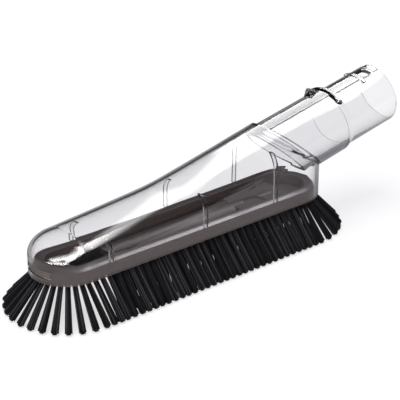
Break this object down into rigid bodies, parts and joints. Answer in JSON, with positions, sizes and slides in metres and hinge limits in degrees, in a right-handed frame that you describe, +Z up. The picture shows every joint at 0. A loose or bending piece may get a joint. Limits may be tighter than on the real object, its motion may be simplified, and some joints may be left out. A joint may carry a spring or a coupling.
{
  "type": "vacuum dusting brush",
  "caption": "Soft dusting brush tool: clear domed hood with a tilted round neck socket, oval slotted tray and tufts that fan outwards all round.",
  "frame": {"origin": "centre of the bounding box at the level of the tuft tips, on which the tool stands", "axes": "+X from the nose to the neck's mouth, +Y across the head, +Z up"},
  "size_m": [0.272, 0.0724, 0.0847],
  "materials": {
    "clear_plastic": "clear moulded plastic, polished",
    "tray_plastic": "brown grey moulded plastic, satin",
    "bristle": "bundled black nylon filaments"
  },
  "bodies": {
    "root": {"hood": "clear_plastic", "bristle_tray": "tray_plastic", "tufts_nose": "bristle", "tufts_near": "bristle", "tufts_far": "bristle", "tufts_heel": "bristle"}
  },
  "joints": []
}
